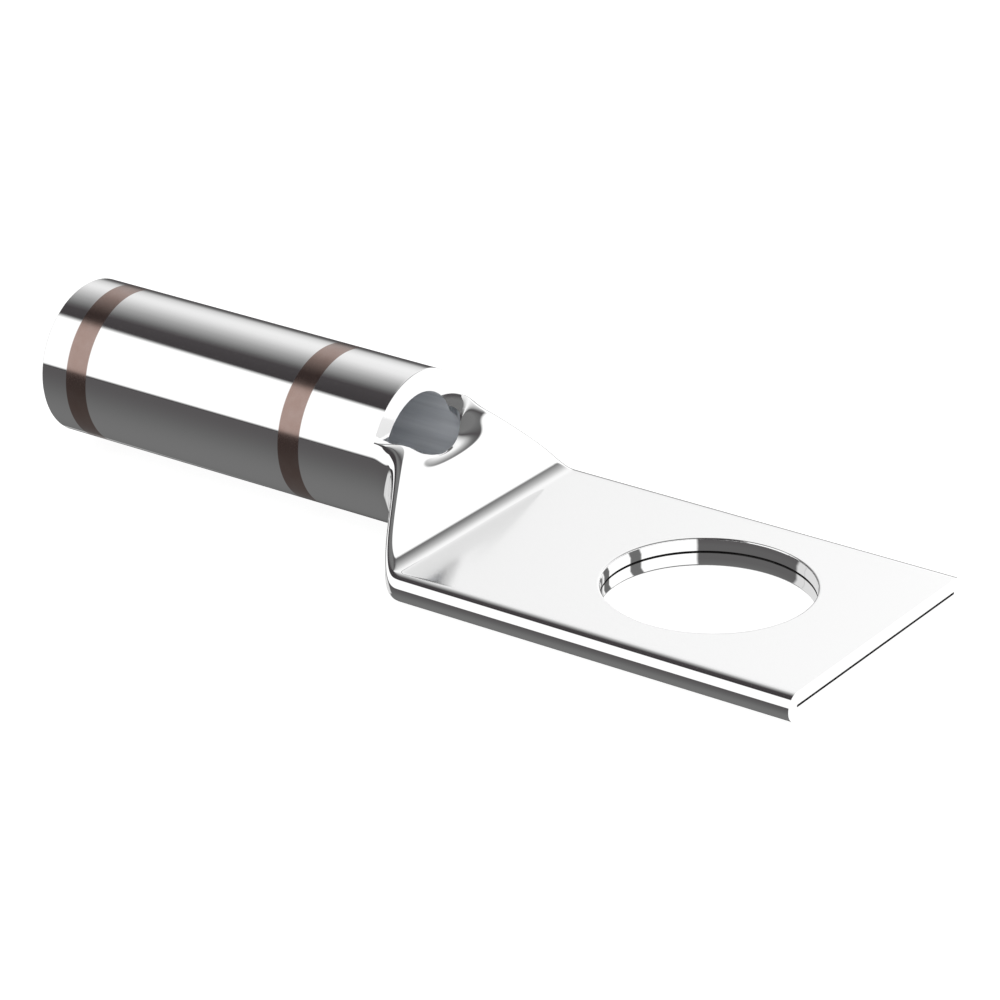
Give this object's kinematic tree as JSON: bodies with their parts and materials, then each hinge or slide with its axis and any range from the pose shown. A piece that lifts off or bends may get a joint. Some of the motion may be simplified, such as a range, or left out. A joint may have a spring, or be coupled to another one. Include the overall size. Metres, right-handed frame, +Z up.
{
  "type": "copper cable lug",
  "caption": "One-piece tubular cable lug: round barrel for a stranded conductor, sight window, flat two-layer palm with one stud hole.",
  "frame": {"origin": "centre of the stud hole, on the face that bolts down", "axes": "+X along the palm to its square tip, away from the barrel; +Z up, out of the palm's top face; +Y across"},
  "size_m": [0.0629, 0.0212, 0.0111],
  "materials": {
    "tinned_copper": "bright tin plating"
  },
  "bodies": {
    "root": {"lug_body": "tinned_copper"}
  },
  "joints": []
}
